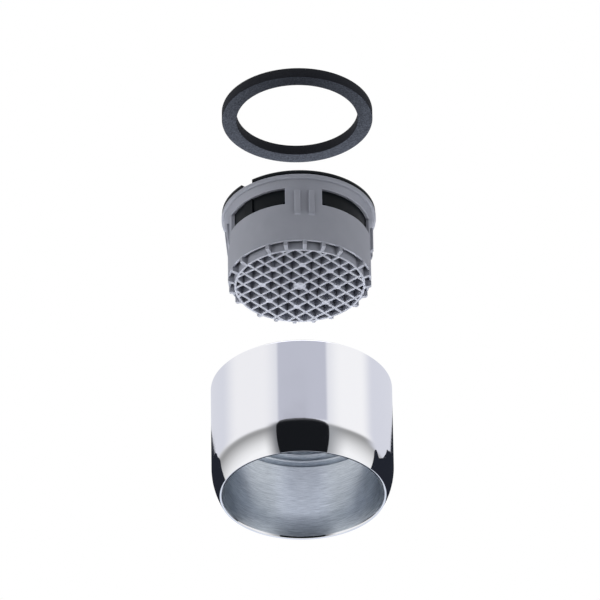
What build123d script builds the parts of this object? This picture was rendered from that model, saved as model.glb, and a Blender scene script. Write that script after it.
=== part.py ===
from build123d import *
import math
import os

# Tap aerator for a spout with an M22 x 1 male thread, drawn taken apart along its own axis:
# a rubber washer on top, a plastic aerating insert in the middle and a chromed brass sleeve below.
# Millimetres, +Z up towards the spout. The origin is the centre of the sleeve's outlet rim.

# Spout thread
thread_major_diameter = 22.0
thread_pitch = 1.0
thread_length = 2.7
thread_mouth = 0.45

# Sleeve
sleeve_wall = 1.0
shoulder_height = 4.4
shoulder_radius = 9.7
rim_wall = 0.28
flare_height = 3.6
ledge_width = 0.33
outlet_recess = 0.1
sleeve_top_edge = 0.2
relief_depth = 0.29

# Sealing washer
washer_width = 2.0
washer_thickness = 1.5
washer_edge = 0.12

# Insert body, a single grey moulding
insert_height = 11.2
flange_thickness = 0.7
flange_edge = 0.15
cove_height = 0.8
body_wall = 0.45
counterbore_step = 0.2
counterbore_depth = 1.2

# Air windows and the bridges between them
window_count = 4
window_top = 1.68
window_height = 2.58
window_arc = 60.0
keyway_angle = -51.0
keyway_width = 1.6

# Twin guide ribs on each bridge
guide_rib_width = 0.8
guide_rib_turn = 5.6
guide_rib_top = 2.33
guide_rib_bottom = 6.1
guide_rib_point = 0.45
side_rib_foot = 0.08

# Foot of the insert, with its lip, pockets and buttresses
lip_height = 1.0
lip_wall = 0.3
pocket_depth = 1.0
pocket_width = 0.52
outlet_ring_wall = 0.3
buttress_count = 5
buttress_pitch = 15.6
buttress_width = 0.5
buttress_short = 0.1
buttress_proud = 0.02
buttress_slant = 0.2

# Outlet lattice
cell_diagonal = 2.52
lattice_bar = 0.46
lattice_depth = 3.0
hub_radius = 0.85
pad_radius = 0.5

# Jet plate, black, dropped into the insert body from above
jet_plate_thickness = 0.7
jet_rim_wall = 0.7
jet_skirt_wall = 0.6
jet_skirt_air = 0.05
jet_skirt_bottom = 4.6
skirt_slot_count = 12
skirt_slot_width = 1.0
skirt_slot_height = 0.9
jet_count = 24
jet_length = 1.5
jet_width = 0.8
jet_inset = 1.1
jet_cone_inset = 1.0
jet_cone_height = 1.2

# Filter screen, black, clipped on top
filter_rim_height = 0.6
filter_rim_inset = 0.05
filter_notch_angle = -46.9
filter_notch_arc = 11.0
filter_notch_depth = 1.1
filter_wall = 0.6
filter_taper = 0.6
filter_rise = 1.1
filter_skin = 0.5
filter_hole = 1.0
filter_pitch = 1.5

# Mixing screens above the lattice
screen_ring_wall = 0.6
screen_ring_height = 1.0
screen_skin = 0.4
screen_hole = 1.7
screen_pitch = 2.2
screen_turn = 45.0

# Play between pieces
side_play = 0.05
flange_play = 0.11
guide_play = 0.07
body_play = 0.45
washer_play = 0.26
filter_play = 0.3
seat_play = 0.05
thread_play = 0.15

# Spaces that the taken-apart pieces stand at
washer_gap = 15.2
sleeve_gap = 16.3

# Radii that follow from the thread, working inwards
thread_minor_radius = thread_major_diameter / 2 - 0.54127 * thread_pitch
thread_major_radius = thread_major_diameter / 2
sleeve_radius = thread_major_radius + sleeve_wall
flange_radius = thread_minor_radius - flange_play
bore_radius = flange_radius - ledge_width
guide_rib_radius = bore_radius - guide_play
body_radius = bore_radius - body_play
body_inner_radius = body_radius - body_wall
counterbore_radius = body_inner_radius + counterbore_step
outlet_ring_outer_radius = body_radius - lip_wall - pocket_width
outlet_ring_inner_radius = outlet_ring_outer_radius - outlet_ring_wall
washer_outer_radius = thread_minor_radius - washer_play
washer_inner_radius = washer_outer_radius - washer_width
filter_base_radius = washer_inner_radius - filter_play
filter_top_radius = filter_base_radius - filter_taper

# Radii of the jet plate, which follow from the insert body
jet_rim_radius = counterbore_radius - side_play
jet_rim_inner_radius = jet_rim_radius - jet_rim_wall
skirt_radius = body_inner_radius - jet_skirt_air
skirt_inner_radius = skirt_radius - jet_skirt_wall
jet_outer_radius = skirt_inner_radius - jet_inset
jet_inner_radius = jet_outer_radius - jet_length
jet_cone_radius = jet_inner_radius - jet_cone_inset

# Heights in the sleeve, from its outlet rim
ledge_z = outlet_recess + insert_height - flange_thickness
stack_height = flange_thickness + filter_rim_height + washer_thickness
thread_z = ledge_z + stack_height + thread_play
mouth_z = thread_z + thread_length
sleeve_height = mouth_z + thread_mouth

# Places of the pieces as they stand apart
insert_foot_z = sleeve_height + sleeve_gap
flange_z = insert_foot_z + insert_height
washer_z = flange_z + filter_rim_height + washer_gap
insert_travel = washer_gap - seat_play
sleeve_travel = flange_z - flange_thickness - ledge_z - seat_play


def point(radius, height):
    """A point of a turned outline, by its radius and height."""
    return (radius, 0, height)


def turned(*edges):
    """The solid that the closed outline made by these edges sweeps about the axis."""
    return revolve(make_face(Wire(edges)), Axis.Z)


def turned_corners(*corners):
    """A turned solid whose outline is straight between its corners."""
    return turned(*Polyline(*[point(*corner) for corner in corners], close=True).edges())


def tube(outer_radius, inner_radius, low, high):
    """A plain ring between two radii and two heights."""
    return turned_corners(
        (inner_radius, low), (outer_radius, low), (outer_radius, high), (inner_radius, high)
    )


def sector(outer_radius, inner_radius, low, high, middle_angle, arc):
    """A piece of a ring, this many degrees long and centred on an angle."""
    section = Polyline(
        point(inner_radius, low),
        point(outer_radius, low),
        point(outer_radius, high),
        point(inner_radius, high),
        close=True,
    )
    piece = revolve(make_face(section), Axis.Z, arc)
    return Rot(0, 0, middle_angle - arc / 2) * piece


def bridge_angles():
    """Where the bridges between the windows stand, the first one at the front."""
    return [-90 + 360 / window_count * number for number in range(window_count)]


def grid_places(reach, pitch):
    """Centres of a square grid about the axis that lie within a radius."""
    steps = int(reach / pitch) + 1
    cells = [
        (column * pitch, row * pitch)
        for column in range(-steps, steps + 1)
        for row in range(-steps, steps + 1)
    ]
    return [cell for cell in cells if math.hypot(*cell) <= reach]


def perforated_disc(radius, thickness, hole, pitch, rim, turn=0.0):
    """A flat disc pierced by a grid of square holes that stay a rim's width inside its edge."""
    reach = radius - rim - hole / math.sqrt(2)
    holes = [Pos(x, y) * Rectangle(hole, hole) for x, y in grid_places(reach, pitch)]
    return Rot(0, 0, turn) * extrude(Circle(radius) - holes, thickness)


def sealing_washer():
    """The flat rubber ring that the spout presses on, its outer edges eased."""
    high = washer_z + washer_thickness
    return turned_corners(
        (washer_inner_radius, washer_z),
        (washer_outer_radius - washer_edge, washer_z),
        (washer_outer_radius, washer_z + washer_edge),
        (washer_outer_radius, high - washer_edge),
        (washer_outer_radius - washer_edge, high),
        (washer_inner_radius, high),
    )


def insert_shell():
    """The turned wall of the insert: flange, cove, body and the lip at its foot."""
    top = flange_z
    lip_z = insert_foot_z + lip_height
    pocket_z = lip_z + pocket_depth
    seat_z = top - flange_thickness
    lattice_z = insert_foot_z + lattice_depth
    return turned_corners(
        (counterbore_radius, top),
        (flange_radius - flange_edge, top),
        (flange_radius, top - flange_edge),
        (flange_radius, seat_z + flange_edge),
        (flange_radius - flange_edge, seat_z),
        (bore_radius - side_play, seat_z),
        (body_radius, seat_z - cove_height),
        (body_radius, lip_z),
        (body_radius - lip_wall, lip_z),
        (body_radius - lip_wall, pocket_z),
        (outlet_ring_outer_radius, pocket_z),
        (outlet_ring_outer_radius, insert_foot_z),
        (outlet_ring_inner_radius, insert_foot_z),
        (outlet_ring_inner_radius, lattice_z),
        (body_inner_radius, lattice_z),
        (body_inner_radius, top - counterbore_depth),
        (counterbore_radius, top - counterbore_depth),
    )


def outlet_lattice():
    """The square-celled outlet, set cornerwise to the bridges, with its hub and pads."""
    reach = (outlet_ring_outer_radius + outlet_ring_inner_radius) / 2
    middle_z = insert_foot_z + lattice_depth / 2
    pitch = cell_diagonal / math.sqrt(2)
    count = int(reach / pitch)
    bars = []
    for number in range(-count, count + 1):
        bar = Pos(number * pitch, 0, middle_z) * Box(lattice_bar, 2 * reach, lattice_depth)
        bars += [Rot(0, 0, 45) * bar, Rot(0, 0, -45) * bar]
    posts = [Pos(0, 0, middle_z) * Cylinder(hub_radius, lattice_depth)]
    pad_nodes = [(2, 0), (1.5, 1.5), (0, 2), (-1.5, 1.5), (-2, 0), (-1.5, -1.5), (0, -2), (1.5, -1.5)]
    for across, along in pad_nodes:
        place = Pos(across * cell_diagonal, along * cell_diagonal, middle_z)
        posts.append(place * Cylinder(pad_radius, lattice_depth))
    limit = Pos(0, 0, middle_z) * Cylinder(reach, lattice_depth)
    return (bars[0] + bars[1:]) & limit, posts


def buttress():
    """One rib pointing along +X that ties the outlet ring to the lip, its foot slanting up."""
    low = insert_foot_z + buttress_short
    lip_z = insert_foot_z + lip_height
    inner = (outlet_ring_outer_radius + outlet_ring_inner_radius) / 2
    in_lip = body_radius - lip_wall / 2
    outline = Polyline(
        point(inner, low),
        point(outlet_ring_outer_radius, low),
        point(body_radius + buttress_proud, low + buttress_slant),
        point(body_radius + buttress_proud, lip_z),
        point(in_lip, lip_z),
        point(in_lip, lip_z + pocket_depth),
        point(inner, lip_z + pocket_depth),
        close=True,
    )
    return extrude(make_face(outline), buttress_width / 2, both=True)


def buttresses():
    """A group of buttresses below each bridge."""
    rib = buttress()
    turns = [(number - (buttress_count - 1) / 2) * buttress_pitch for number in range(buttress_count)]
    return [Rot(0, 0, angle + turn) * rib for angle in bridge_angles() for turn in turns]


def guide_rib(foot_reach):
    """One upright rib pointing along +X, its outline running down to a foot of this reach."""
    root = body_radius - body_wall / 2
    top_z = flange_z - guide_rib_top
    foot_z = flange_z - guide_rib_bottom
    outline = Polyline(
        point(root, top_z),
        point(guide_rib_radius, top_z),
        point(body_radius + foot_reach, foot_z + guide_rib_point),
        point(body_radius, foot_z),
        point(root, foot_z),
        close=True,
    )
    return extrude(make_face(outline), guide_rib_width / 2, both=True)


def guide_ribs():
    """Twin ribs on each bridge, straight ones apart from the tapered pair on the left bridge."""
    straight = guide_rib_radius - body_radius
    ribs = []
    for angle in bridge_angles():
        on_left = abs(angle % 360 - 180) < 1
        rib = guide_rib(side_rib_foot if on_left else straight)
        for turn in (-guide_rib_turn, guide_rib_turn):
            ribs.append(Rot(0, 0, angle + turn) * rib)
    return ribs


def windows():
    """The air windows, with the keyway that the jet plate's block slides down."""
    inner = body_inner_radius - body_wall
    high = flange_z - window_top
    low = high - window_height
    cuts = [
        sector(guide_rib_radius, inner, low, high, angle + 180 / window_count, window_arc)
        for angle in bridge_angles()
    ]
    reach = counterbore_radius + side_play
    keyway = Box(2 * body_wall, keyway_width, flange_z - low)
    place = Rot(0, 0, -90 + keyway_angle) * Pos(reach - body_wall, 0, (flange_z + low) / 2)
    return cuts + [place * keyway]


def insert_housing():
    """The grey moulding: shell, ribs, windows and lattice in one piece."""
    lattice, posts = outlet_lattice()
    body = insert_shell() + guide_ribs() + buttresses()
    body = body - windows()
    return body + lattice + posts


def jets():
    """The ring of slots in the jet plate that split the water."""
    middle = (jet_outer_radius + jet_inner_radius) / 2
    place_z = flange_z - counterbore_depth + jet_plate_thickness / 2
    jet = Pos(middle, 0, place_z) * Box(jet_length, jet_width, 2 * jet_plate_thickness)
    return [Rot(0, 0, 360 / jet_count * number) * jet for number in range(jet_count)]


def skirt_slots():
    """The slots in the foot of the jet plate's skirt."""
    middle = (skirt_radius + skirt_inner_radius) / 2
    place_z = flange_z - jet_skirt_bottom + skirt_slot_height / 2
    slot = Pos(middle, 0, place_z) * Box(2 * jet_skirt_wall, skirt_slot_width, skirt_slot_height)
    step = 360 / skirt_slot_count
    return [Rot(0, 0, step * (number + 0.5)) * slot for number in range(skirt_slot_count)]


def key_block():
    """The raised block on the jet plate's skirt that shows in the left window."""
    inner = (skirt_radius + skirt_inner_radius) / 2
    high = flange_z - counterbore_depth
    low = flange_z - window_top - window_height + side_play
    block = Box(jet_rim_radius - inner, keyway_width - 2 * side_play, high - low)
    place = Pos((inner + jet_rim_radius) / 2, 0, (high + low) / 2)
    return Rot(0, 0, -90 + keyway_angle) * place * block


def jet_plate():
    """The black plate that splits the water into jets, with a skirt behind the windows."""
    rim_bottom = flange_z - counterbore_depth
    skirt_z = flange_z - jet_skirt_bottom
    plate_top = rim_bottom + jet_plate_thickness
    body = turned_corners(
        (0, rim_bottom),
        (skirt_inner_radius, rim_bottom),
        (skirt_inner_radius, skirt_z),
        (skirt_radius, skirt_z),
        (skirt_radius, rim_bottom),
        (jet_rim_radius, rim_bottom),
        (jet_rim_radius, flange_z),
        (jet_rim_inner_radius, flange_z),
        (jet_rim_inner_radius, plate_top),
        (jet_cone_radius, plate_top),
        (0, rim_bottom + jet_cone_height),
    )
    return body - (jets() + skirt_slots()) + key_block()


def filter_screen():
    """The black strainer on top, a raised mesh inside a flat notched rim."""
    rim_radius = flange_radius - filter_rim_inset
    rim_top = flange_z + filter_rim_height
    crest = rim_top + filter_rise
    spigot_radius = jet_rim_inner_radius - side_play
    spigot_z = flange_z - counterbore_depth + jet_plate_thickness + seat_play
    inner = filter_base_radius - filter_wall
    body = turned_corners(
        (inner, spigot_z),
        (spigot_radius, spigot_z),
        (spigot_radius, flange_z),
        (rim_radius, flange_z),
        (rim_radius, rim_top),
        (filter_base_radius, rim_top),
        (filter_top_radius, crest),
        (filter_top_radius - filter_wall, crest),
        (filter_top_radius - filter_wall, crest - filter_skin),
        (inner, flange_z),
    )
    notch = sector(
        rim_radius + filter_notch_depth, rim_radius - filter_notch_depth,
        flange_z, rim_top, -90 + filter_notch_angle, filter_notch_arc,
    )
    mesh_radius = filter_top_radius - filter_wall / 2
    mesh = perforated_disc(mesh_radius, filter_skin, filter_hole, filter_pitch, filter_wall)
    return body - notch + Pos(0, 0, crest - filter_skin) * mesh


def mixing_screen(low, ring_height, turn):
    """A pierced disc in a ring that keeps it off the next one."""
    radius = body_inner_radius - side_play
    ring = tube(radius, radius - screen_ring_wall, low, low + ring_height)
    disc = perforated_disc(
        radius - screen_ring_wall / 2, screen_skin, screen_hole, screen_pitch,
        screen_ring_wall / 2, turn,
    )
    return ring + Pos(0, 0, low) * disc


def mixing_screen_lower():
    """The screen that lies on the lattice."""
    return mixing_screen(insert_foot_z + lattice_depth, screen_ring_height, 0.0)


def mixing_screen_upper():
    """The screen above it, turned, whose taller ring reaches up to the jet plate's skirt."""
    low = insert_foot_z + lattice_depth + screen_ring_height
    high = flange_z - jet_skirt_bottom - side_play
    return mixing_screen(low, high - low, screen_turn)


def sleeve():
    """The chromed brass sleeve, a turned tube drawn in to a thin rim at the outlet."""
    arc_drop = shoulder_radius - math.sqrt(shoulder_radius ** 2 - shoulder_height ** 2)
    rim_outer = sleeve_radius - arc_drop
    half_angle = math.asin(shoulder_height / shoulder_radius) / 2
    shoulder_middle = point(
        sleeve_radius - shoulder_radius * (1 - math.cos(half_angle)),
        shoulder_height - shoulder_radius * math.sin(half_angle),
    )
    shoulder = ThreePointArc(
        point(rim_outer, 0), shoulder_middle, point(sleeve_radius, shoulder_height)
    )
    relief_radius = thread_minor_radius + relief_depth
    walls = Polyline(
        point(sleeve_radius, shoulder_height),
        point(sleeve_radius, sleeve_height - sleeve_top_edge),
        point(sleeve_radius - sleeve_top_edge, sleeve_height),
        point(thread_major_radius, sleeve_height),
        point(thread_minor_radius, mouth_z),
        point(thread_minor_radius, thread_z),
        point(relief_radius, thread_z),
        point(relief_radius, ledge_z),
        point(bore_radius, ledge_z),
        point(bore_radius, flare_height),
        point(rim_outer - rim_wall, 0),
        point(rim_outer, 0),
    )
    return turned(shoulder, *walls.edges())


PIECES = {
    "sealing_washer": sealing_washer,
    "filter_screen": filter_screen,
    "jet_plate": jet_plate,
    "mixing_screen_upper": mixing_screen_upper,
    "mixing_screen_lower": mixing_screen_lower,
    "insert_housing": insert_housing,
    "sleeve": sleeve,
}

os.makedirs("parts", exist_ok=True)
for name, build in PIECES.items():
    export_step(build(), f"parts/{name}.step")

print(f"washer top {washer_z + washer_thickness:.3f}, washer bottom {washer_z:.3f}")
print(f"flange top {flange_z:.3f}, insert foot {insert_foot_z:.3f}, sleeve height {sleeve_height:.3f}")
print(f"ledge {ledge_z:.3f}, thread {thread_z:.3f} to {mouth_z:.3f}, radius {thread_minor_radius:.4f}")
print(f"travel of the insert {insert_travel:.3f}, of the sleeve {sleeve_travel:.3f}")
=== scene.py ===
"""Tap aerator drawn apart on its own axis: rubber washer, aerating insert and chromed sleeve.

Every piece is modelled in millimetres round the common axis and becomes metres when it turns
into an object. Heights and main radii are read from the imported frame.
"""

import logging
import math
from collections.abc import Callable
from dataclasses import dataclass
from enum import Enum

import bmesh
import bpy
from bmesh.types import BMEdge, BMesh, BMFace, BMVert
from mathutils import Matrix, Vector

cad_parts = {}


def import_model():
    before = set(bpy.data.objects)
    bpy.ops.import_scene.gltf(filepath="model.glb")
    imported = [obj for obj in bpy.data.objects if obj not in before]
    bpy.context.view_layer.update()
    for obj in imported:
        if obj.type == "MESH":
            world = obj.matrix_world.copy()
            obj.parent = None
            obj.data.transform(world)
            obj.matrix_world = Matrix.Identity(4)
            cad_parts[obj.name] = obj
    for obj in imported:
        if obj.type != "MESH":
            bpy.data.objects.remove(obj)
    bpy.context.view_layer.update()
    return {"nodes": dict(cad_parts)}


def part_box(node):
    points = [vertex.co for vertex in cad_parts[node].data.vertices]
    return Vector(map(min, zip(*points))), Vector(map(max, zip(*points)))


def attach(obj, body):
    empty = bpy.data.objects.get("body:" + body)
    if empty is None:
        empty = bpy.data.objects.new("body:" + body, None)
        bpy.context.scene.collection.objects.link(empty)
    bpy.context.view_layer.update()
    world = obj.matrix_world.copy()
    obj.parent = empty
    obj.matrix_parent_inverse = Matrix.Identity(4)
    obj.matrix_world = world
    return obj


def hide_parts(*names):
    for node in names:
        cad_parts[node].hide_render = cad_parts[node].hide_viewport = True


log = logging.getLogger("tap_aerator")

MM = 0.001
FULL_TURN = 2 * math.pi
ROUND_STEPS = 360
SHARP_ANGLE = math.radians(35.0)
SAME_PLANE = 1e-4
SAME_POINT = 1e-5
LEVEL_NORMAL = 0.9
QUARTERS = [0.0, 90.0, 180.0, 270.0]

Colour = tuple[float, float, float]
Span = tuple[float, float]


@dataclass(frozen=True)
class Extent:
    """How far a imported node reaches, in millimetres: outer radius, lowest and highest point."""

    radius: float
    low: float
    high: float

    @classmethod
    def of(cls, node: str) -> "Extent":
        """Reads a node's reach from the frame.

        Args:
            node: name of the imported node.

        Returns:
            The reach of that node.
        """
        low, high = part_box(node)
        return cls(radius=high.x / MM, low=low.z / MM, high=high.z / MM)

    @property
    def height(self) -> float:
        """The node's height."""
        return self.high - self.low


class Outline:
    """A cross-section in the XZ plane, drawn point by point and then turned about the axis."""

    def __init__(self, radius: float, height: float, ease: float = 0.0) -> None:
        """Starts the outline.

        Args:
            radius: distance of the first point from the axis.
            height: height of the first point.
            ease: how far the corner there is rounded back.
        """
        self.mesh = bmesh.new()
        self.first = self.mesh.verts.new((radius, 0.0, height))
        self.last = self.first
        self.corners: list[tuple[BMVert, float, int]] = []
        self._mark(ease, 3)

    def _mark(self, ease: float, segments: int) -> None:
        """Remembers that the last point is a corner to be rounded."""
        if ease > 0:
            self.corners.append((self.last, ease, segments))

    def line(self, radius: float, height: float, ease: float = 0.0, segments: int = 3) -> "Outline":
        """Goes straight to a point.

        Args:
            radius: distance of the point from the axis.
            height: height of the point.
            ease: how far the corner there is rounded back.
            segments: faces across that rounding.

        Returns:
            The outline itself.
        """
        vert = self.mesh.verts.new((radius, 0.0, height))
        self.mesh.edges.new((self.last, vert))
        self.last = vert
        self._mark(ease, segments)
        return self

    def arc(self, centre_radius: float, centre_height: float, degrees: float, steps: int) -> "Outline":
        """Goes round an arc about a centre.

        Args:
            centre_radius: distance of the arc's centre from the axis.
            centre_height: height of the arc's centre.
            degrees: angle of the arc, counter-clockwise when radius points right and height up.
            steps: straight pieces in the arc.

        Returns:
            The outline itself.
        """
        made = bmesh.ops.spin(
            self.mesh, geom=[self.last], cent=(centre_radius, 0.0, centre_height),
            axis=(0.0, -1.0, 0.0), angle=math.radians(degrees), steps=steps,
        )
        self.last = next(item for item in made["geom_last"] if isinstance(item, BMVert))
        return self

    def close(self) -> "Outline":
        """Joins the last point to the first one."""
        self.mesh.edges.new((self.last, self.first))
        return self

    def _round_corners(self) -> None:
        """Rounds the marked corners."""
        for vert, ease, segments in self.corners:
            bmesh.ops.bevel(
                self.mesh, geom=[vert], offset=ease, offset_type="OFFSET", segments=segments,
                profile=0.5, affect="VERTICES", material=-1,
            )

    def turned(self, degrees: float = 360.0, steps: int = ROUND_STEPS, start: float = 0.0) -> BMesh:
        """Turns the outline about the axis.

        Args:
            degrees: how far it is turned.
            steps: faces round a full turn.
            start: angle that the turning starts from.

        Returns:
            The turned mesh. A part turn of a closed outline gets its two ends filled.
        """
        self._round_corners()
        full = degrees >= 360.0
        turn_about_axis(self.mesh, start)
        bmesh.ops.spin(
            self.mesh, geom=self.mesh.verts[:] + self.mesh.edges[:], cent=(0.0, 0.0, 0.0),
            axis=(0.0, 0.0, 1.0), angle=math.radians(degrees),
            steps=round(steps * degrees / 360.0), use_merge=full,
        )
        if not full:
            rims = [edge for edge in self.mesh.edges if edge.is_boundary]
            bmesh.ops.edgeloop_fill(self.mesh, edges=rims)
        bmesh.ops.recalc_face_normals(self.mesh, faces=self.mesh.faces)
        return self.mesh

    def slab(self, width: float, ease: float = 0.0) -> BMesh:
        """Fills the closed outline and gives it a width across the XZ plane.

        Args:
            width: the full width.
            ease: how far its edges are rounded back.

        Returns:
            The slab, centred on the XZ plane.
        """
        self._round_corners()
        bmesh.ops.edgeloop_fill(self.mesh, edges=self.mesh.edges)
        made = bmesh.ops.extrude_face_region(self.mesh, geom=self.mesh.faces[:])
        moved = [item for item in made["geom"] if isinstance(item, BMVert)]
        bmesh.ops.translate(self.mesh, verts=moved, vec=(0.0, width, 0.0))
        bmesh.ops.translate(self.mesh, verts=self.mesh.verts, vec=(0.0, -width / 2, 0.0))
        bmesh.ops.recalc_face_normals(self.mesh, faces=self.mesh.faces)
        if ease > 0:
            ease_edges(self.mesh, self.mesh.edges[:], ease)
        return self.mesh


def lies_flat(face: BMFace) -> bool:
    """Whether a face looks straight up or down."""
    return abs(face.normal.z) > LEVEL_NORMAL


def lies_at(edge: BMEdge, height: float) -> bool:
    """Whether an edge lies at one height."""
    return all(abs(vert.co.z - height) < SAME_PLANE for vert in edge.verts)


def ease_edges(mesh: BMesh, edges: list[BMEdge], offset: float, segments: int = 2) -> None:
    """Rounds the sharp ones of some edges.

    Args:
        mesh: the mesh they belong to.
        edges: the edges to look through.
        offset: how far the rounding reaches from the edge.
        segments: faces across the rounding.
    """
    sharp = [
        edge for edge in edges
        if len(edge.link_faces) == 2 and edge.calc_face_angle(0.0) > SHARP_ANGLE
    ]
    bmesh.ops.bevel(
        mesh, geom=sharp, offset=offset, offset_type="OFFSET", segments=segments,
        profile=0.5, affect="EDGES", clamp_overlap=True, material=-1,
    )


def turn_about_axis(mesh: BMesh, degrees: float) -> None:
    """Turns a whole mesh about the upright axis."""
    bmesh.ops.rotate(mesh, verts=mesh.verts, matrix=Matrix.Rotation(math.radians(degrees), 3, "Z"))


def cut_off(mesh: BMesh, place: Vector, outward: Vector) -> None:
    """Cuts off what lies beyond a plane through a place."""
    bmesh.ops.bisect_plane(
        mesh, geom=mesh.verts[:] + mesh.edges[:] + mesh.faces[:], dist=SAME_POINT, plane_co=place,
        plane_no=outward, clear_outer=True,
    )


def absorb(target: BMesh, part: BMesh) -> None:
    """Moves all of one mesh into another and frees it."""
    shard = bpy.data.meshes.new("shard")
    part.to_mesh(shard)
    part.free()
    target.from_mesh(shard)
    bpy.data.meshes.remove(shard)


def repeated(part: BMesh, angles: list[float]) -> BMesh:
    """Copies a mesh to several angles about the axis.

    Args:
        part: the mesh, made for an angle of 0. It is freed.
        angles: angles of the copies in degrees.

    Returns:
        One mesh with all copies.
    """
    together = bmesh.new()
    for angle in angles:
        copy = part.copy()
        turn_about_axis(copy, angle)
        absorb(together, copy)
    part.free()
    return together


def post(radius: float, low: float, high: float, ease: float, place: Vector) -> BMesh:
    """A round post with an eased lower edge.

    Args:
        radius: its radius.
        low: its lowest height.
        high: its highest height.
        ease: how far its lower edge is rounded back.
        place: where it stands.

    Returns:
        The post.
    """
    sides = 32
    outline = Outline(0.0, low).line(radius, low, ease).line(radius, high).line(0.0, high)
    mesh = outline.turned(steps=sides)
    bmesh.ops.remove_doubles(mesh, verts=mesh.verts, dist=SAME_POINT)
    bmesh.ops.recalc_face_normals(mesh, faces=mesh.faces)
    bmesh.ops.translate(mesh, verts=mesh.verts, vec=place)
    return mesh


def net(reach: float, pitch: float, hole: float, low: float, high: float, turn: float, ease: float) -> BMesh:
    """A round plate of crossing bars with square holes between them.

    Args:
        reach: radius that the bars run out to.
        pitch: distance from one bar to the next.
        hole: side of a hole.
        low: height of its lower face.
        high: height of its upper face.
        turn: angle of the bars in degrees.
        ease: how far the lower edges are rounded back.

    Returns:
        The net.
    """
    rim_sides = 90
    half_count = math.ceil(reach / pitch) + 1
    mesh = bmesh.new()
    bmesh.ops.create_grid(
        mesh, x_segments=2 * half_count, y_segments=2 * half_count, size=half_count * pitch,
    )
    cells = mesh.faces[:]
    bmesh.ops.inset_individual(mesh, faces=cells, thickness=(pitch - hole) / 2)
    bmesh.ops.delete(mesh, geom=cells, context="FACES_ONLY")
    turn_about_axis(mesh, turn)
    for side in range(rim_sides):
        angle = FULL_TURN * (side + 0.5) / rim_sides
        outward = Vector((math.cos(angle), math.sin(angle), 0.0))
        cut_off(mesh, outward * reach, outward)
    loose = [vert for vert in mesh.verts if not vert.link_faces]
    bmesh.ops.delete(mesh, geom=loose, context="VERTS")
    bmesh.ops.translate(mesh, verts=mesh.verts, vec=(0.0, 0.0, low))
    made = bmesh.ops.extrude_face_region(mesh, geom=mesh.faces[:])
    upper = [item for item in made["geom"] if isinstance(item, BMVert)]
    bmesh.ops.translate(mesh, verts=upper, vec=(0.0, 0.0, high - low))
    bmesh.ops.recalc_face_normals(mesh, faces=mesh.faces)
    if ease > 0:
        ease_edges(mesh, [edge for edge in mesh.edges if lies_at(edge, low)], ease, 1)
    return mesh


def angle_apart(first: float, second: float) -> float:
    """The angle between two directions, both in degrees."""
    return abs((first - second + 180.0) % 360.0 - 180.0)


def place_mesh(name: str, mesh: BMesh, materials: list[bpy.types.Material]) -> bpy.types.Object:
    """Turns a mesh into an object of the scene.

    Args:
        name: name of the object.
        mesh: its mesh, which is freed.
        materials: its materials, in the order of the faces' indices.

    Returns:
        The object.
    """
    data = bpy.data.meshes.new(name)
    mesh.to_mesh(data)
    mesh.free()
    for material in materials:
        data.materials.append(material)
    placed = bpy.data.objects.new(name, data)
    bpy.context.scene.collection.objects.link(placed)
    return placed


def make_piece(
    name: str, mesh: BMesh, materials: list[bpy.types.Material], body: str, node: str,
) -> None:
    """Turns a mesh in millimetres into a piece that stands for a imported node.

    Args:
        name: name of the piece.
        mesh: its mesh, which is freed.
        materials: its materials, in the order of the faces' indices.
        body: the body that it rides on.
        node: the node that it replaces.
    """
    bmesh.ops.scale(mesh, verts=mesh.verts, vec=(MM, MM, MM))
    piece = place_mesh(name, mesh, materials)
    piece.data.shade_smooth()
    piece.data.set_sharp_from_angle(angle=SHARP_ANGLE)
    shading = piece.modifiers.new("even_shading", "WEIGHTED_NORMAL")
    shading.keep_sharp = True
    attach(piece, body)
    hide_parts(node)
    piece.data.calc_loop_triangles()
    log.info("%s: %d triangles", name, len(piece.data.loop_triangles))


def feed(node: bpy.types.Node, *feeds: object, **inputs: object) -> None:
    """Feeds a node's inputs, each with a value or with another node's output.

    Args:
        node: the node.
        feeds: what its first inputs get, in their order.
        inputs: what inputs get by name, with underscores for spaces.
    """
    named = {name.replace("_", " "): fed for name, fed in inputs.items()}
    for key, fed in [*enumerate(feeds), *named.items()]:
        if isinstance(fed, bpy.types.NodeSocket):
            node.id_data.links.new(fed, node.inputs[key])
        else:
            node.inputs[key].default_value = fed


def add_node(tree: bpy.types.NodeTree, kind: str, *feeds: object, **inputs: object) -> bpy.types.Node:
    """Adds a node to a tree and feeds its inputs.

    Args:
        tree: the tree.
        kind: the kind of node.
        feeds: what its first inputs get, in their order.
        inputs: what inputs get by name, with underscores for spaces.

    Returns:
        The node.
    """
    node = tree.nodes.new("ShaderNode" + kind)
    feed(node, *feeds, **inputs)
    return node


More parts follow.
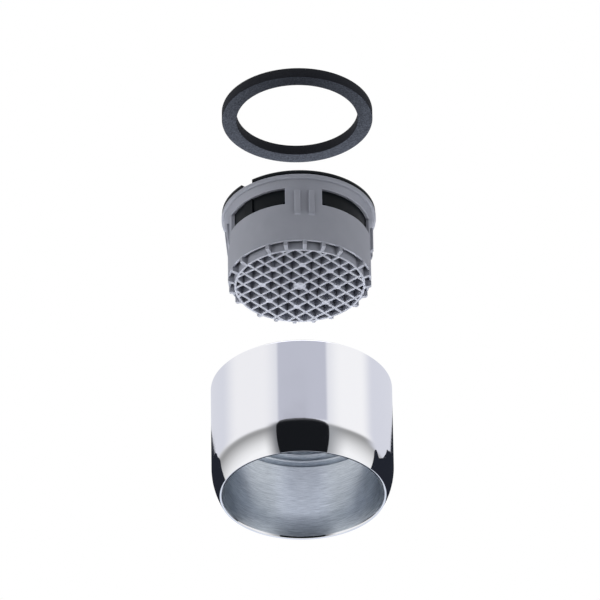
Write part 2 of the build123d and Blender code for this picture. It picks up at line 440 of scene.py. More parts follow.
class Shader:
    """A material and its nodes, built step by step."""

    def __init__(self, name: str, **inputs: object) -> None:
        """Starts a material with one plain surface shader.

        Args:
            name: name of the material.
            inputs: what the surface's inputs get, with underscores for spaces.
        """
        self.material = bpy.data.materials.new(name)
        self.material.use_nodes = True
        self.tree = self.material.node_tree
        self.surface = self.existing("BSDF_PRINCIPLED")
        self.coordinates = add_node(self.tree, "TexCoord")
        feed(self.surface, **inputs)

    def existing(self, kind: str) -> bpy.types.Node:
        """The node of this type that the material started with."""
        return next(node for node in self.tree.nodes if node.type == kind)

    def noise(
        self, size: float, detail: float = 4.0, roughness: float = 0.5, stretch: Colour = (1.0, 1.0, 1.0),
    ) -> bpy.types.NodeSocket:
        """Adds a noise in object space.

        Args:
            size: size of its grains in millimetres.
            detail: octaves of finer noise.
            roughness: weight of the finer octaves.
            stretch: factors that squeeze the grains along each axis.

        Returns:
            The noise's factor.
        """
        mapping = add_node(self.tree, "Mapping", self.coordinates.outputs["Object"], Scale=stretch)
        texture = add_node(
            self.tree, "TexNoise", mapping.outputs["Vector"], Scale=1.0 / (size * MM), Detail=detail,
            Roughness=roughness,
        )
        return texture.outputs["Fac"]

    def spread(self, factor: bpy.types.NodeSocket, result: Span, source: Span) -> bpy.types.NodeSocket:
        """Spreads a factor from one range to another.

        Args:
            factor: what is spread.
            result: the range that it is spread to.
            source: the range of the factor that is used.

        Returns:
            The result.
        """
        ramp = add_node(
            self.tree, "MapRange", factor, From_Min=source[0], From_Max=source[1], To_Min=result[0],
            To_Max=result[1],
        )
        return ramp.outputs["Result"]

    def tint(self, factor: bpy.types.NodeSocket, shades: tuple[Colour, Colour], source: Span) -> None:
        """Colours the surface between two shades by a factor.

        Args:
            factor: what chooses the colour.
            shades: the dark and the light one.
            source: the range of the factor that is used.
        """
        ramp = add_node(self.tree, "ValToRGB", factor)
        for element, position, shade in zip(ramp.color_ramp.elements, source, shades):
            element.position = position
            element.color = (*shade, 1.0)
        feed(self.surface, Base_Color=ramp.outputs["Color"])

    def paint_edge_light_and_corner_shade(self, lighter: float, edge_width: float, darker: float, corner_width: float) -> None:
        """Paints highlights along the outer edges and painted shade into the inner corners of the tinted
        surface.

        Args:
            lighter: share by which a sharp outer edge gets lighter.
            edge_width: width of that in millimetres.
            darker: share by which a deep inner corner gets darker.
            corner_width: width of that in millimetres.
        """
        colour = self.surface.inputs["Base Color"].links[0].from_socket
        # Painted highlight on outer edges and painted shade in inner corners, both found by
        # ambient-occlusion probes.
        for outer, change, start, width in (
            (True, 1.0 + lighter, 0.5, edge_width), (False, 1.0 - darker, 0.3, corner_width),
        ):
            probe = add_node(self.tree, "AmbientOcclusion", Distance=width * MM)
            probe.inside = outer
            probe.only_local = True
            probe.samples = 8
            scaled = add_node(self.tree, "VectorMath", colour)
            scaled.operation = "SCALE"
            feed(scaled, Scale=self.spread(probe.outputs["AO"], (change, 1.0), (start, 1.0)))
            colour = scaled.outputs["Vector"]
        feed(self.surface, Base_Color=colour)

    def rough(self, factor: bpy.types.NodeSocket, roughness: Span) -> None:
        """Varies the roughness over a range by a factor."""
        feed(self.surface, Roughness=self.spread(factor, roughness, (0.3, 0.7)))

    def relief(self, factor: bpy.types.NodeSocket, depth: float, strength: float = 0.5) -> None:
        """Raises the surface by a factor.

        Args:
            factor: the height.
            depth: millimetres between its lowest and highest value.
            strength: how much of the tilt shows.
        """
        bump = add_node(self.tree, "Bump", Height=factor, Distance=depth * MM, Strength=strength)
        feed(self.surface, Normal=bump.outputs["Normal"])


@dataclass(frozen=True)
class MirrorChrome:
    """Polished chrome plate with faint clouding."""

    colour: Colour = (0.9, 0.905, 0.93)
    cloud: float = 3.0
    roughness: Span = (0.035, 0.055)

    def make(self, name: str) -> bpy.types.Material:
        """Makes the material under this name."""
        shader = Shader(name, Metallic=1.0, Base_Color=(*self.colour, 1.0))
        shader.rough(shader.noise(self.cloud), self.roughness)
        return shader.material


@dataclass(frozen=True)
class TurnedBore:
    """Plated bore with the fine rings of turning, which smear its highlights along the axis."""

    smear: float = 0.75
    grain: float = 0.5
    stretch: Colour = (0.3, 0.3, 6.0)
    shades: tuple[Colour, Colour] = ((0.49, 0.54, 0.6), (0.81, 0.86, 0.92))
    contrast: Span = (0.38, 0.64)
    roughness: Span = (0.3, 0.38)
    relief: float = 0.014

    def make(self, name: str) -> bpy.types.Material:
        """Makes the material under this name."""
        shader = Shader(name, Metallic=1.0, Anisotropic=self.smear, Anisotropic_Rotation=0.25)
        along = add_node(shader.tree, "Tangent")
        along.direction_type = "RADIAL"
        along.axis = "Z"
        feed(shader.surface, Tangent=along.outputs["Tangent"])
        rings = shader.noise(self.grain, 6.0, 0.7, self.stretch)
        shader.tint(rings, self.shades, self.contrast)
        shader.rough(rings, self.roughness)
        shader.relief(rings, self.relief)
        return shader.material


@dataclass(frozen=True)
class MouldedPlastic:
    """Moulded plastic with faint clouding and a fine grain, its lengths in millimetres."""

    shades: tuple[Colour, Colour]
    cloud: float
    roughness: Span
    grain: float
    specular: float = 0.5
    soft_depth: float = 0.0
    # Whether highlights on outer edges and shade in inner corners are painted into the colour.
    paints_edge_light_and_corner_shade: bool = False

    def make(self, name: str) -> bpy.types.Material:
        """Makes the material under this name."""
        shader = Shader(name, Specular_IOR_Level=self.specular)
        if self.soft_depth > 0:
            feed(
                shader.surface, Subsurface_Weight=0.15, Subsurface_Radius=(1.0, 1.0, 1.0),
                Subsurface_Scale=self.soft_depth * MM,
            )
        cloud = shader.noise(self.cloud, 3.0)
        shader.tint(cloud, self.shades, (0.3, 0.7))
        # Optional painted edge highlights and painted corner shade.
        if self.paints_edge_light_and_corner_shade:
            shader.paint_edge_light_and_corner_shade(0.45, 0.14, 0.45, 0.7)
        shader.rough(cloud, self.roughness)
        shader.relief(shader.noise(self.grain), 0.004)
        return shader.material


@dataclass(frozen=True)
class Rubber:
    """Matt speckled rubber, its lengths in millimetres."""

    grain: float
    grain_roughness: float
    shades: tuple[Colour, Colour]
    contrast: Span
    relief: float
    relief_strength: float

    def make(self, name: str) -> bpy.types.Material:
        """Makes the material under this name."""
        shader = Shader(name, Specular_IOR_Level=0.15)
        grain = shader.noise(self.grain, 3.0, self.grain_roughness)
        shader.tint(grain, self.shades, self.contrast)
        shader.rough(grain, (0.6, 0.8))
        shader.relief(grain, self.relief, self.relief_strength)
        return shader.material


class Finish(Enum):
    """The finishes that the pieces are made in, each named as its material is."""

    MIRROR_CHROME = MirrorChrome()
    TURNED_BORE = TurnedBore()
    GREY_PLASTIC = MouldedPlastic(
        ((0.348, 0.362, 0.42), (0.377, 0.392, 0.45)), cloud=2.5, roughness=(0.42, 0.5), grain=0.08,
        # The grey plastic gets painted edge highlights and painted corner shade.
        soft_depth=0.3, paints_edge_light_and_corner_shade=True,
    )
    BLACK_PLASTIC = MouldedPlastic(
        ((0.003, 0.0045, 0.006), (0.005, 0.007, 0.009)), cloud=1.5, roughness=(0.38, 0.5), grain=0.1,
        specular=0.1,
    )
    SCREEN_PLASTIC = MouldedPlastic(
        ((0.05, 0.052, 0.058), (0.065, 0.067, 0.073)), cloud=1.5, roughness=(0.45, 0.6), grain=0.1,
    )
    RUBBER = Rubber(
        0.2, 0.7, ((0.009, 0.01, 0.014), (0.018, 0.02, 0.026)), contrast=(0.42, 0.62), relief=0.02,
        relief_strength=0.5,
    )
    # Lighter copy of the rubber for the washer's flat faces: a painted sheen.
    RUBBER_FACE = Rubber(
        0.22, 0.75, ((0.033, 0.038, 0.051), (0.078, 0.088, 0.113)), contrast=(0.4, 0.62), relief=0.03,
        relief_strength=0.6,
    )


Finishes = dict[Finish, bpy.types.Material]


@dataclass
class SealingWasher:
    """The flat rubber ring that the spout presses on."""

    width: float = 2.0
    ease: float = 0.14

    def build(self, finishes: Finishes) -> None:
        """Makes the washer."""
        reach = Extent.of("sealing_washer")
        inner = reach.radius - self.width
        mesh = (
            Outline(inner, reach.low, self.ease / 2)
            .line(reach.radius, reach.low, self.ease)
            .line(reach.radius, reach.high, self.ease)
            .line(inner, reach.high, self.ease / 2)
            .close()
            .turned()
        )
        # The flat top and bottom faces get the lighter rubber, a painted sheen; the sides keep the plain
        # rubber.
        for face in mesh.faces:
            face.material_index = int(lies_flat(face))
        make_piece(
            "washer_ring", mesh, [finishes[Finish.RUBBER], finishes[Finish.RUBBER_FACE]], "washer",
            "sealing_washer",
        )


@dataclass
class InsertHousing:
    """The grey moulding with its flange, windows, ribs, buttresses and lattice."""

    flange_thickness: float = 0.7
    flange_ease: float = 0.16
    ledge_width: float = 0.33
    ledge_play: float = 0.05
    cove_height: float = 0.8
    body_play: float = 0.45
    body_wall: float = 0.45
    counterbore_step: float = 0.2
    counterbore_depth: float = 1.2
    window_count: int = 4
    window_top: float = 1.68
    window_height: float = 2.58
    window_arc: float = 60.0
    window_ease: float = 0.04
    rib_width: float = 0.8
    rib_turn: float = 5.6
    rib_top: float = 2.33
    rib_bottom: float = 6.1
    rib_point: float = 0.45
    rib_play: float = 0.07
    rib_ease: float = 0.12
    side_rib_foot: float = 0.08
    lip_height: float = 1.0
    lip_wall: float = 0.3
    pocket_depth: float = 1.0
    pocket_width: float = 0.52
    ring_wall: float = 0.3
    foot_ease: float = 0.07
    buttress_count: int = 5
    buttress_pitch: float = 15.6
    buttress_width: float = 0.5
    buttress_short: float = 0.1
    buttress_proud: float = 0.02
    buttress_slant: float = 0.2
    cell_diagonal: float = 2.52
    lattice_bar: float = 0.46
    lattice_depth: float = 3.0
    hub_radius: float = 0.85
    pad_radius: float = 0.5
    pad_cells: tuple[Span, ...] = ((2.0, 0.0), (1.5, 1.5))
    proud: float = 0.02

    def __post_init__(self) -> None:
        """Reads the housing's reach and works out the radii that follow from it."""
        self.reach = Extent.of("insert_housing")
        self.bore_radius = self.reach.radius - self.ledge_width
        self.body_radius = self.bore_radius - self.body_play
        self.inner_radius = self.body_radius - self.body_wall
        self.counterbore_radius = self.inner_radius + self.counterbore_step
        self.ring_outer = self.body_radius - self.lip_wall - self.pocket_width
        self.ring_inner = self.ring_outer - self.ring_wall
        self.window_high = self.reach.high - self.window_top
        self.window_low = self.window_high - self.window_height

    @property
    def bridge_angles(self) -> list[float]:
        """Where the bridges between the windows stand, the first one at the front."""
        return [360.0 / self.window_count * number - 90.0 for number in range(self.window_count)]

    @property
    def window_angles(self) -> list[float]:
        """Where the middles of the windows are."""
        return [angle + 180.0 / self.window_count for angle in self.bridge_angles]

    def _shell(self) -> BMesh:
        """The turned wall, from the flange down to the outlet ring."""
        top, foot = self.reach.high, self.reach.low
        seat = top - self.flange_thickness
        lip = foot + self.lip_height
        pocket = lip + self.pocket_depth
        floor = foot + self.lattice_depth
        half_step = 180.0 / ROUND_STEPS
        return (
            Outline(self.counterbore_radius, top, self.foot_ease)
            .line(self.reach.radius, top, self.flange_ease, 4)
            .line(self.reach.radius, seat, self.flange_ease, 4)
            .line(self.bore_radius - self.ledge_play, seat)
            .line(self.body_radius, seat - self.cove_height)
            .line(self.body_radius, self.window_high)
            .line(self.body_radius, self.window_low)
            .line(self.body_radius, lip, self.foot_ease)
            .line(self.body_radius - self.lip_wall, lip, self.foot_ease)
            .line(self.body_radius - self.lip_wall, pocket)
            .line(self.ring_outer, pocket)
            .line(self.ring_outer, foot, self.foot_ease)
            .line(self.ring_inner, foot, self.foot_ease)
            .line(self.ring_inner, floor)
            .line(self.inner_radius, floor)
            .line(self.inner_radius, self.window_low)
            .line(self.inner_radius, self.window_high)
            .line(self.inner_radius, top - self.counterbore_depth)
            .line(self.counterbore_radius, top - self.counterbore_depth)
            .close()
            .turned(start=half_step)
        )

    def _cut_windows(self, mesh: BMesh) -> None:
        """Opens the air windows in the shell and joins their inner and outer edges."""
        def in_window(face: BMFace, middle: float) -> bool:
            """Whether a face lies in the window with this middle angle."""
            place = face.calc_center_median()
            if not self.window_low < place.z < self.window_high:
                return False
            return angle_apart(math.degrees(math.atan2(place.y, place.x)), middle) < self.window_arc / 2

        for middle in self.window_angles:
            cut = [face for face in mesh.faces if in_window(face, middle)]
            bmesh.ops.delete(mesh, geom=cut, context="FACES")
            rims = [edge for edge in mesh.edges if edge.is_boundary]
            made = bmesh.ops.bridge_loops(mesh, edges=rims)
            rims = {edge for face in made["faces"] for edge in face.edges}
            bmesh.ops.recalc_face_normals(mesh, faces=mesh.faces)
            ease_edges(mesh, list(rims), self.window_ease)

    def _guide_rib(self, foot_reach: float) -> BMesh:
        """One upright rib at an angle of 0, its face running down to a foot of this reach."""
        root = self.body_radius - self.body_wall / 2
        top = self.reach.high - self.rib_top
        foot = self.reach.high - self.rib_bottom
        outline = (
            Outline(root, top)
            .line(self.bore_radius - self.rib_play, top)
            .line(self.body_radius + foot_reach, foot + self.rib_point)
            .line(self.body_radius - self.proud, foot)
            .line(root, foot)
            .close()
        )
        return outline.slab(self.rib_width, self.rib_ease)

    def _guide_ribs(self) -> BMesh:
        """The twin ribs on every bridge; the pair on the left bridge is tapered."""
        straight = self.bore_radius - self.rib_play - self.body_radius
        ribs = bmesh.new()
        for angle in self.bridge_angles:
            on_left = angle_apart(angle, 180.0) < 1.0
            rib = self._guide_rib(self.side_rib_foot if on_left else straight)
            absorb(ribs, repeated(rib, [angle - self.rib_turn, angle + self.rib_turn]))
        return ribs

    def _buttresses(self) -> BMesh:
        """The groups of ribs below the bridges that tie the outlet ring to the lip."""
        low = self.reach.low + self.buttress_short
        lip = self.reach.low + self.lip_height
        inner = (self.ring_outer + self.ring_inner) / 2
        outer = self.body_radius + self.buttress_proud
        in_lip = self.body_radius - self.lip_wall / 2
        rib = (
            Outline(inner, low)
            .line(self.ring_outer, low)
            .line(outer, low + self.buttress_slant)
            .line(outer, lip + self.proud)
            .line(in_lip, lip + self.proud)
            .line(in_lip, lip + self.pocket_depth)
            .line(inner, lip + self.pocket_depth)
            .close()
            .slab(self.buttress_width, self.foot_ease)
        )
        middle = (self.buttress_count - 1) / 2
        turns = [(number - middle) * self.buttress_pitch for number in range(self.buttress_count)]
        return repeated(rib, [angle + turn for angle in self.bridge_angles for turn in turns])

    def _lattice(self) -> BMesh:
        """The square-celled outlet with its hub and pads."""
        pitch = self.cell_diagonal / math.sqrt(2)
        foot = self.reach.low
        top = foot + self.lattice_depth
        mesh = net(
            self.ring_outer - self.ring_wall / 2, pitch, pitch - self.lattice_bar,
            foot + self.proud, top - self.proud, 45.0, self.foot_ease / 2,
        )
        high = top - 2 * self.proud
        for across, along in self.pad_cells:
            place = Vector((across, along, 0.0)) * self.cell_diagonal
            pad = post(self.pad_radius, foot + self.proud / 2, high, self.foot_ease, place)
            absorb(mesh, repeated(pad, QUARTERS))
        absorb(mesh, post(self.hub_radius, foot, high, self.foot_ease, Vector()))
        return mesh

    def build(self, finishes: Finishes) -> None:
        """Makes the housing."""
        mesh = self._shell()
        self._cut_windows(mesh)
        for part in (self._guide_ribs(), self._buttresses(), self._lattice()):
            absorb(mesh, part)
        make_piece(
            "insert_moulding", mesh, [finishes[Finish.GREY_PLASTIC]], "insert",
            "insert_housing",
        )


@dataclass
class FilterScreen:
    """The black strainer on top, a raised mesh inside a flat notched rim."""

    rim_height: float = 0.6
    rim_ease: float = 0.12
    notch_angle: float = -136.9
    notch_arc: float = 11.0
    notch_depth: float = 1.1
    spigot_inset: float = 1.3
    base_inset: float = 2.4
    spigot_depth: float = 0.45
    wall: float = 0.6
    taper: float = 0.6
    skin: float = 0.5
    skin_inset: float = 0.02
    hole: float = 0.75
    pitch: float = 1.15
    jet_rim_wall: float = 0.7
    jet_rim_play: float = 0.05

    def build(self, finishes: Finishes) -> None:
        """Makes the strainer."""
        reach = Extent.of("filter_screen")
        seat = reach.low + self.spigot_depth
        rim_top = seat + self.rim_height
        core = reach.radius - self.notch_depth
        spigot = Extent.of("jet_plate").radius - self.jet_rim_wall - self.jet_rim_play
        base = reach.radius - self.base_inset
        crest_radius = base - self.taper
        mesh = (
            Outline(base - self.wall, reach.low)
            .line(spigot, reach.low)
            .line(spigot, seat)
            .line(core, seat)
            .line(core, rim_top, self.rim_ease)
            .line(base, rim_top)
            .line(crest_radius, reach.high, self.rim_ease)
            .line(crest_radius - self.wall, reach.high)
            .line(crest_radius - self.wall, reach.high - self.skin)
            .line(base - self.wall, seat)
            .close()
            .turned()
        )
        rim = (
            Outline(core - self.rim_ease, seat)
            .line(reach.radius, seat, self.rim_ease)
            .line(reach.radius, rim_top, self.rim_ease)
            .line(core - self.rim_ease, rim_top)
            .close()
            .turned(360.0 - self.notch_arc, start=self.notch_angle + self.notch_arc / 2)
        )
        absorb(mesh, rim)
        low = reach.high - self.skin
        mesh_radius = crest_radius - self.wall / 2
        high = reach.high - self.skin_inset
        absorb(mesh, net(mesh_radius, self.pitch, self.hole, low, high, 0.0, 0.0))
        make_piece(
            "strainer", mesh, [finishes[Finish.BLACK_PLASTIC]], "insert",
            "filter_screen",
        )


@dataclass
class Sleeve:
    """The chromed brass sleeve with its inside thread and drawn-in outlet."""

    wall: float = 1.0
    pitch: float = 1.0
    thread_depth: float = 0.54127
    crest_share: float = 0.25
    root_share: float = 0.125
    thread_steps: int = 240
    thread_weld: float = 0.001
    thread_clear: float = 0.03
    mouth: float = 0.45
    mouth_ease: float = 0.12
    top_ease: float = 0.22
    shoulder_height: float = 4.4
    shoulder_radius: float = 9.7
    shoulder_steps: int = 28
    support: float = 0.12
    rim_wall: float = 0.28
    rim_ease: float = 0.06
    flare_height: float = 3.6
    flare_steps: int = 14
    polished_edge: float = 0.3
    outlet_recess: float = 0.1
    ledge_width: float = 0.33
    flange_thickness: float = 0.7

    def __post_init__(self) -> None:
        """Reads the sleeve's reach and works out the radii and heights that follow from it."""
        self.reach = Extent.of("sleeve")
        insert = Extent.of("insert_housing")
        self.root_radius = self.reach.radius - self.wall
        self.crest_radius = self.root_radius - self.thread_depth * self.pitch
        self.bore_radius = insert.radius - self.ledge_width
        self.ledge = self.reach.low + self.outlet_recess + insert.height - self.flange_thickness
        self.mouth_height = self.reach.high - self.mouth

    def _thread(self) -> BMesh:
        """The helical thread from the ledge up to the mouth."""
        turns = math.ceil((self.mouth_height - self.ledge) / self.pitch) + 2
        start = self.ledge - 1.5 * self.pitch
        flank = (1.0 - self.crest_share - self.root_share) / 2
        outline = (
            Outline(self.root_radius, start)
            .line(self.root_radius, start + self.root_share * self.pitch)
            .line(self.crest_radius, start + (self.root_share + flank) * self.pitch)
            .line(self.crest_radius, start + (1.0 - flank) * self.pitch)
            .line(self.root_radius, start + self.pitch)
        )
        mesh = outline.mesh
        bmesh.ops.spin(
            mesh, geom=mesh.verts[:] + mesh.edges[:], cent=(0.0, 0.0, 0.0), axis=(0.0, 0.0, 1.0),
            dvec=(0.0, 0.0, self.pitch / self.thread_steps), angle=FULL_TURN * turns,
            steps=self.thread_steps * turns,
        )
        bmesh.ops.remove_doubles(mesh, verts=mesh.verts, dist=self.thread_weld)
        for height, upward in ((self.ledge, -1.0), (self.mouth_height, 1.0)):
            cut_off(mesh, Vector((0.0, 0.0, height)), Vector((0.0, 0.0, upward)))
        return mesh

    def _tube(self) -> BMesh:
        """The turned wall, from the thread's mouth over the outside to the ledge."""
        low, top = self.reach.low, self.reach.high
        clear = self.root_radius + self.thread_clear
        shoulder = math.asin(self.shoulder_height / self.shoulder_radius)
        rim_outer = self.reach.radius - self.shoulder_radius * (1 - math.cos(shoulder))
        flare_width = rim_outer - self.rim_wall - self.bore_radius
        flare_radius = (self.flare_height ** 2 + flare_width ** 2) / (2 * flare_width)
        flare = math.asin(self.flare_height / flare_radius)
        return (
            Outline(clear, self.mouth_height)
            .line(clear, top, self.mouth_ease)
            .line(self.reach.radius, top, self.top_ease, 5)
            .line(self.reach.radius, low + self.shoulder_height + self.support)
            .line(self.reach.radius, low + self.shoulder_height)
            .arc(
                self.reach.radius - self.shoulder_radius, low + self.shoulder_height,
                -math.degrees(shoulder), self.shoulder_steps,
            )
            .line(rim_outer - self.rim_wall, low, self.rim_ease)
            .arc(
                self.bore_radius + flare_radius, low + self.flare_height,
                -math.degrees(flare), self.flare_steps,
            )
            .line(self.bore_radius, self.ledge)
            .turned()
        )

    def _close_plane(self, mesh: BMesh, height: float) -> None:
        """Fills the flat ring between the tube and the thread at one height."""
        rims = [edge for edge in mesh.edges if edge.is_boundary and lies_at(edge, height)]
        bmesh.ops.triangle_fill(mesh, use_beauty=True, edges=rims, normal=(0.0, 0.0, 1.0))

    @staticmethod
    def _is_inside(face: BMFace) -> bool:
        """Whether a face looks towards the axis."""
        place = face.calc_center_median()
        return Vector((place.x, place.y)).normalized().dot(face.normal.xy) < -0.2

    def build(self, finishes: Finishes) -> None:
        """Makes the sleeve."""
        mesh = self._tube()
        absorb(mesh, self._thread())
        for height in (self.ledge, self.mouth_height):
            self._close_plane(mesh, height)
        bmesh.ops.recalc_face_normals(mesh, faces=mesh.faces)
        for face in mesh.faces:
            height = face.calc_center_median().z
            threaded = self.ledge - SAME_PLANE < height < self.mouth_height + SAME_PLANE
            bored = self._is_inside(face) and height > self.reach.low + self.polished_edge
            face.material_index = int(bored or (threaded and lies_flat(face)))
        make_piece(
            "chromed_sleeve", mesh, [finishes[Finish.MIRROR_CHROME], finishes[Finish.TURNED_BORE]],
            "sleeve", "sleeve",
        )


def level_at(profile: tuple[Span, ...], place: float) -> float:
    """The level of a profile of straight stretches at a place along it."""
    for (start, before), (end, after) in zip(profile, profile[1:]):
        if place <= end:
            return before + (after - before) * (place - start) / (end - start)
    return profile[-1][1]


@dataclass(frozen=True)
class Card:
    """A dark studio card bent round the object, which only reflections see.

    Places are azimuths away from the camera and elevations, in degrees.
    """

    name: str
    skyline: tuple[Span, ...]
    foot: Span
    low: float
    colour: Colour
    top_colour: Colour
    fade: float

    def lay(self, across: float, along: float) -> tuple[float, float, Vector]:
        """Where a point of the card is and what colour it has.

        Args:
            across: from 0 at its left edge to 1 at its right edge.
            along: from 0 at its foot to 1 at its top.

        Returns:
            Azimuth, elevation and colour of the point.
        """
        start, end = self.skyline[0][0], self.skyline[-1][0]
        over = start + (end - start) * across
        under = self.foot[0] + (self.foot[1] - self.foot[0]) * across
        rise = level_at(self.skyline, over) - self.low
        share = 1.0 - min((1.0 - along) * rise / self.fade, 1.0)
        colour = Vector(self.colour).lerp(Vector(self.top_colour), share ** 2)
        return under + (over - under) * along, self.low + rise * along, colour


@dataclass(frozen=True)
class Patch:
    """A soft-edged patch of the reflector wall, in degrees away from the camera."""

    across: Span
    along: Span
    soft_across: float
    soft_along: float
    colour: Colour

    @staticmethod
    def _inside(value: float, edges: Span, soft: float) -> float:
        """How far a value is inside soft edges, from 0 to 1."""
        share = min(max(min(value - edges[0], edges[1] - value) / soft + 0.5, 0.0), 1.0)
        return share * share * (3.0 - 2.0 * share)

    def share(self, azimuth: float, elevation: float) -> float:
        """How much of the patch shows at a place."""
        across = self._inside(azimuth, self.across, self.soft_across)
        return across * self._inside(elevation, self.along, self.soft_along)


@dataclass(frozen=True)
class Lamp:
    """A soft square lamp that faces the object and that no camera or reflection sees.

    Its angles are degrees away from the camera and elevation, its lengths metres.
    """

    name: str
    azimuth: float
    elevation: float
    distance: float
    side: float
    watts: float


@dataclass
class Studio:
    """The camera, the lamps, the cards, the floor and the white background."""

    azimuth: float = -4.7
    elevation: float = -33.5
    roll: float = -0.9
    lens: float = 480.0
    sensor: float = 36.0
    clip: Span = (0.01, 20.0)
    image_side: int = 600
    pixels_per_mm: float = 7.5
    aim_height: float = 30.8
    card_distance: float = 1.45
    card_grid: tuple[int, int] = (160, 60)
    wall_distance: float = 1.5
    wall_grid: tuple[int, int] = (240, 96)
    floor_height: float = -2.65
    floor_side: float = 12.0
    ambient: float = 0.14

    def _facing_object(
        self, name: str, data: bpy.types.ID, azimuth: float, elevation: float, distance: float,
        roll: float = 0.0,
    ) -> bpy.types.Object:
        """Places a camera or a lamp so that it faces the object.

        Args:
            name: its name.
            data: the camera's or the lamp's data.
            azimuth: where it stands, in degrees.
            elevation: how high it stands, in degrees.
            distance: how far away it stands, in metres.
            roll: how far it is rolled, in degrees.

        Returns:
            The camera or the lamp.
        """
        turn, tilt = math.radians(azimuth), math.radians(elevation)
        back = Vector((
            math.sin(turn) * math.cos(tilt), -math.cos(turn) * math.cos(tilt), math.sin(tilt),
        ))
        placed = bpy.data.objects.new(name, data)
        placed.location = Vector((0.0, 0.0, self.aim_height * MM)) + back * distance
        placed.rotation_mode = "QUATERNION"
        rolled = Matrix.Rotation(math.radians(roll), 3, "Z").to_quaternion()
        placed.rotation_quaternion = back.to_track_quat("Z", "Y") @ rolled
        bpy.context.scene.collection.objects.link(placed)
        return placed

    def camera(self) -> None:
        """Places the camera at the photograph's viewing angle."""
        data = bpy.data.cameras.new("camera")
        data.lens = self.lens
        data.sensor_width = self.sensor
        data.clip_start, data.clip_end = self.clip
        distance = self.lens / self.sensor * self.image_side / self.pixels_per_mm * MM
        bpy.context.scene.camera = self._facing_object(
            "camera", data, self.azimuth, self.elevation, distance, self.roll,
        )

    @staticmethod
    def _glow() -> bpy.types.Material:
        """The material of the cards and the wall, which are seen at just their painted colour."""
        material = bpy.data.materials.new("studio_glow")
        material.use_nodes = True
        tree = material.node_tree
        tree.nodes.clear()
        paint = add_node(tree, "Attribute")
        paint.attribute_name = "glow"
        light = add_node(tree, "Emission", Color=paint.outputs["Color"])
        add_node(tree, "OutputMaterial", Surface=light.outputs["Emission"])
        return material

    def _bent_sheet(
        self, name: str, grid: tuple[int, int], distance: float, material: bpy.types.Material,
        lay: Callable[[float, float], tuple[float, float, Vector]],
    ) -> None:
        """Bends a grid round the object and paints it, for reflections only.

        Args:
            name: its name.
            grid: faces across and along.
            distance: metres from the axis.
            material: the glow that it is made of.
            lay: gives azimuth, elevation and colour for a point from 0 to 1 across and along.
        """
        mesh = bmesh.new()
        bmesh.ops.create_grid(mesh, x_segments=grid[0], y_segments=grid[1], size=0.5)
        paint = mesh.verts.layers.float_color.new("glow")
        for vert in mesh.verts:
            azimuth, elevation, colour = lay(vert.co.x + 0.5, vert.co.y + 0.5)
            vert[paint] = (*colour, 1.0)
            turn = math.radians(self.azimuth + azimuth)
            vert.co = distance * Vector((
                math.sin(turn), -math.cos(turn), math.tan(math.radians(elevation)),
            ))
        sheet = place_mesh(name, mesh, [material])
        sheet.visible_camera = False
        sheet.visible_diffuse = False
        sheet.visible_shadow = False

    def cards(self, glow: bpy.types.Material) -> None:
        """Sets up the dark cards: one at the camera and one to each side behind the object."""
        black = (0.017, 0.0195, 0.028)
        for card in (
            Card(
                "front_card",
                ((-31.4, 27.0), (-28.0, 31.4), (-22.0, 32.2), (-10.0, 32.35), (4.0, 32.3), (14.0, 31.7),
                 (22.0, 30.4), (28.0, 28.4), (32.6, 24.0)),
                (-28.2, 32.1), -40.0, (0.009, 0.01, 0.012), (0.13, 0.13, 0.14), 5.0,
            ),
            Card(
                "left_card",
                ((-180.0, 32.95), (-160.0, 32.72), (-143.0, 32.45), (-136.0, 31.0), (-130.0, 27.5),
                 (-125.0, 25.0), (-121.0, 21.7), (-120.0, 18.0), (-119.0, 10.0)),
                (-180.0, -119.0), -29.5, black, black, 1.0,
            ),
            Card(
                "right_card",
                ((97.5, 15.0), (99.0, 17.5), (102.0, 19.2), (107.5, 14.2), (116.0, 19.0),
                 (122.5, 24.2), (132.5, 30.8), (145.0, 32.35), (152.0, 32.6), (160.0, 32.8),
                 (180.0, 33.2)),
                (97.5, 180.0), -29.5, black, black, 1.0,
            ),
        ):
            self._bent_sheet(card.name, self.card_grid, self.card_distance, glow, card.lay)

    def wall(self, glow: bpy.types.Material) -> None:
        """Sets up the soft reflector wall that the chrome mirrors behind the cards."""
        sweep = (
            (-60.0, 0.66), (-42.0, 0.74), (-28.0, 0.84), (-20.0, 0.97), (-8.7, 0.99), (-0.7, 0.87),
            (4.3, 0.76), (9.3, 0.62), (14.3, 0.48), (19.0, 0.345), (22.0, 0.36), (24.5, 0.5),
            (27.0, 0.65), (30.0, 0.72), (65.0, 0.72),
        )
        rim_blue = (0.73, 0.78, 0.88)
        patches = (
            Patch((-200.0, 200.0), (27.0, 80.0), 1.0, 6.0, (0.716, 0.727, 0.79)),
            Patch((-104.0, -34.0), (25.6, 80.0), 34.0, 5.0, (0.93, 0.925, 0.94)),
            Patch((36.0, 106.0), (24.4, 80.0), 34.0, 5.0, (0.98, 0.975, 0.98)),
            Patch((92.0, 170.0), (17.5, 80.0), 24.0, 6.0, (0.71, 0.72, 0.79)),
            Patch((-30.0, 32.0), (31.5, 80.0), 4.0, 2.0, (0.545, 0.556, 0.636)),
            Patch((-200.0, 200.0), (39.0, 80.0), 1.0, 4.0, (1.0, 1.0, 1.0)),
            Patch((-42.0, 44.0), (40.0, 80.0), 30.0, 6.0, (2.2, 2.2, 2.35)),
            Patch((-220.0, -145.0), (-60.0, -26.0), 20.0, 6.0, rim_blue),
            Patch((145.0, 220.0), (-60.0, -26.0), 20.0, 6.0, rim_blue),
            Patch((-38.0, 0.0), (-60.0, 29.0), 20.0, 8.0, (0.17, 0.175, 0.19)),
            Patch((0.0, 44.0), (-60.0, 25.0), 30.0, 8.0, (0.34, 0.35, 0.365)),
        )
        low, high = sweep[0][0], sweep[-1][0]

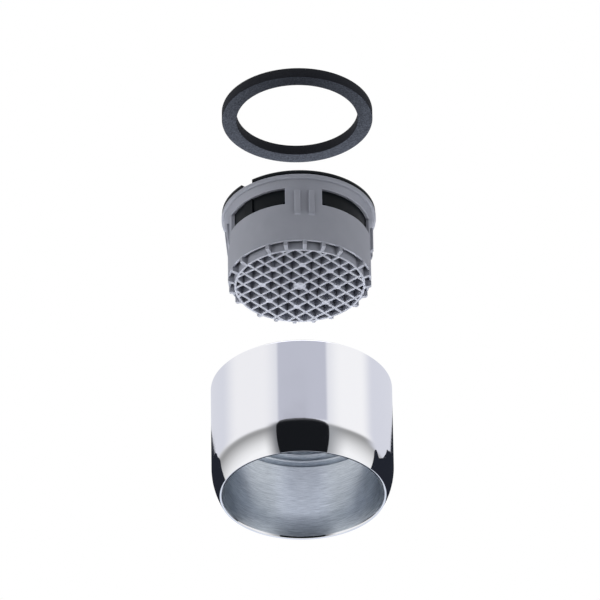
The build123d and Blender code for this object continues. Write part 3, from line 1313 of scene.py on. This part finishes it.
        def lay(across: float, along: float) -> tuple[float, float, Vector]:
            """Where a point of the wall is and what colour it has."""
            azimuth = 360.0 * across - 180.0
            elevation = low + (high - low) * along
            colour = Vector((1.0, 1.0, 1.0)) * level_at(sweep, elevation)
            for patch in patches:
                colour = colour.lerp(Vector(patch.colour), patch.share(azimuth, elevation))
            return azimuth, elevation, colour

        self._bent_sheet("reflector_wall", self.wall_grid, self.wall_distance, glow, lay)

    @staticmethod
    def _white_to_eye(
        tree: bpy.types.NodeTree, lit: bpy.types.NodeSocket, white: bpy.types.NodeSocket,
    ) -> bpy.types.NodeSocket:
        """Mixes two shaders by what kind of ray meets them.

        Args:
            tree: the tree that they are in.
            lit: the shader that lights the object.
            white: the shader that camera, glossy and transmission rays meet.

        Returns:
            The mixed shader.
        """
        path = add_node(tree, "LightPath")
        share = path.outputs["Is Camera Ray"]
        for name in ("Is Glossy Ray", "Is Transmission Ray"):
            either = add_node(tree, "Math", share, path.outputs[name])
            either.operation = "MAXIMUM"
            share = either.outputs["Value"]
        return add_node(tree, "MixShader", share, lit, white).outputs["Shader"]

    def world(self) -> None:
        """Makes the world white to the eye and softer as a lamp."""
        world = bpy.data.worlds.new("studio_world")
        world.use_nodes = True
        tree = world.node_tree
        tree.nodes.clear()
        lamp = add_node(tree, "Background", Color=(0.95, 0.97, 1.0, 1.0), Strength=self.ambient)
        white = add_node(tree, "Background", Color=(1.0, 1.0, 1.0, 1.0), Strength=1.0)
        mixed = self._white_to_eye(tree, lamp.outputs["Background"], white.outputs["Background"])
        add_node(tree, "OutputWorld", Surface=mixed)
        bpy.context.scene.world = world

    def floor(self) -> None:
        """Lays the pale floor far below."""
        mesh = bmesh.new()
        bmesh.ops.create_grid(mesh, x_segments=1, y_segments=1, size=self.floor_side / 2)
        bmesh.ops.translate(mesh, verts=mesh.verts, vec=(0.0, 0.0, self.floor_height))
        pale = Shader("pale_floor", Base_Color=(0.85, 0.85, 0.86, 1.0), Roughness=0.9)
        white = add_node(pale.tree, "Emission")
        mixed = self._white_to_eye(pale.tree, pale.surface.outputs["BSDF"], white.outputs["Emission"])
        feed(pale.existing("OUTPUT_MATERIAL"), Surface=mixed)
        place_mesh("studio_floor", mesh, [pale.material])

    def light(self, lamp: Lamp) -> None:
        """Adds a lamp."""
        data = bpy.data.lights.new(lamp.name, "AREA")
        data.shape = "SQUARE"
        data.size = lamp.side
        data.energy = lamp.watts
        placed = self._facing_object(
            lamp.name, data, self.azimuth + lamp.azimuth, lamp.elevation, lamp.distance,
        )
        placed.visible_camera = False
        placed.visible_glossy = False

    def build(self) -> None:
        """Sets up the whole studio."""
        bpy.context.scene.view_settings.view_transform = "Standard"
        self.world()
        self.floor()
        glow = self._glow()
        self.cards(glow)
        self.wall(glow)
        for lamp in (
            Lamp("under_lamp", 180.0, -62.0, 0.7, 0.7, 8.2),
            Lamp("front_lamp", -12.0, -10.0, 1.2, 0.6, 2.3),
            Lamp("left_lamp", -75.0, -12.0, 1.2, 0.8, 6.2),
            Lamp("right_lamp", 75.0, -12.0, 1.2, 0.8, 5.2),
        ):
            self.light(lamp)
        self.camera()


def dress_packed_nodes(frame: dict, finishes: Finishes) -> None:
    """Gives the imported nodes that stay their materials.

    Args:
        frame: the loaded frame.
        finishes: the materials.
    """
    for node, finish in (
        ("jet_plate", Finish.BLACK_PLASTIC),
        ("mixing_screen_upper", Finish.SCREEN_PLASTIC),
        ("mixing_screen_lower", Finish.SCREEN_PLASTIC),
    ):
        data = frame["nodes"][node].data
        data.materials.clear()
        data.materials.append(finishes[finish])
        log.info("%s: packed node, %s", node, finish.name.lower())


def main() -> None:
    """Builds the object and its studio."""
    logging.basicConfig(level=logging.INFO, format="%(message)s")
    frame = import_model()
    finishes = {finish: finish.value.make(finish.name.lower()) for finish in Finish}
    SealingWasher().build(finishes)
    InsertHousing().build(finishes)
    FilterScreen().build(finishes)
    Sleeve().build(finishes)
    dress_packed_nodes(frame, finishes)
    Studio().build()


if __name__ == "__main__":
    main()
